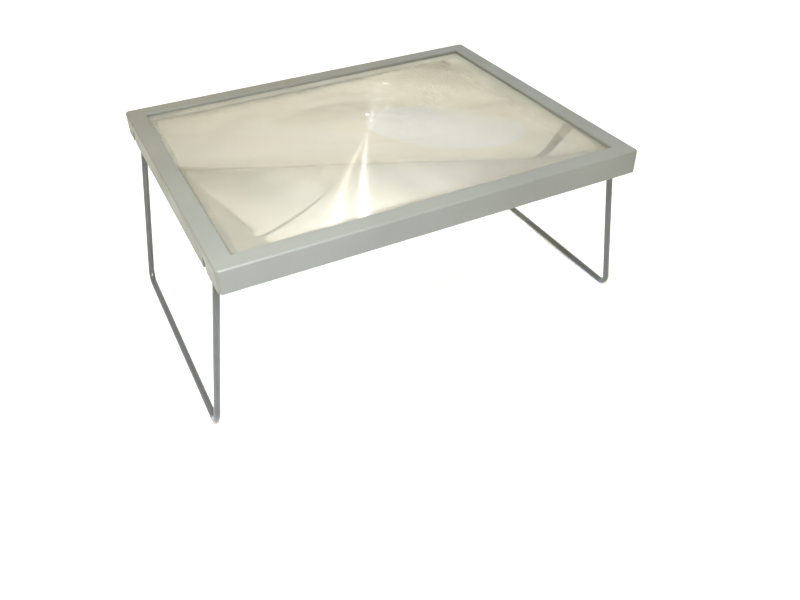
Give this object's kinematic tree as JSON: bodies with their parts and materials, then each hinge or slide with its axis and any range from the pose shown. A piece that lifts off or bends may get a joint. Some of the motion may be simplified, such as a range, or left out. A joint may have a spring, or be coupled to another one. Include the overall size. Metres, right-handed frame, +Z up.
{
  "type": "fresnel lens page magnifier",
  "caption": "Rectangular Fresnel lens in a moulded frame that stands level over a page on two folding bent-wire legs.",
  "frame": {"origin": "on the table, under the middle of the frame, with the legs open", "axes": "+X along the frame's long side, +Y to its back (the way the pivot tips point), +Z up"},
  "size_m": [0.3552, 0.254, 0.146],
  "materials": {
    "frame_plastic": "satin light grey moulding",
    "lens_clear": "clear grooved sheet",
    "retainer_plastic": "satin light grey moulding",
    "leg_wire": "semi-gloss grey paint"
  },
  "bodies": {
    "frame": {"lens_frame": "frame_plastic", "fresnel_lens": "lens_clear", "lens_retainer": "retainer_plastic"},
    "left_leg": {"left_leg": "leg_wire"},
    "right_leg": {"right_leg": "leg_wire"}
  },
  "joints": [
    {"name": "left_leg_fold", "type": "hinge", "parent": "frame", "child": "left_leg", "pos_m": [-0.1543, 0, 0.1342], "axis": [0, -1, 0], "range_deg": [0, 99]},
    {"name": "right_leg_fold", "type": "hinge", "parent": "frame", "child": "right_leg", "pos_m": [0.1543, 0, 0.1342], "axis": [0, 1, 0], "range_deg": [0, 99]}
  ]
}
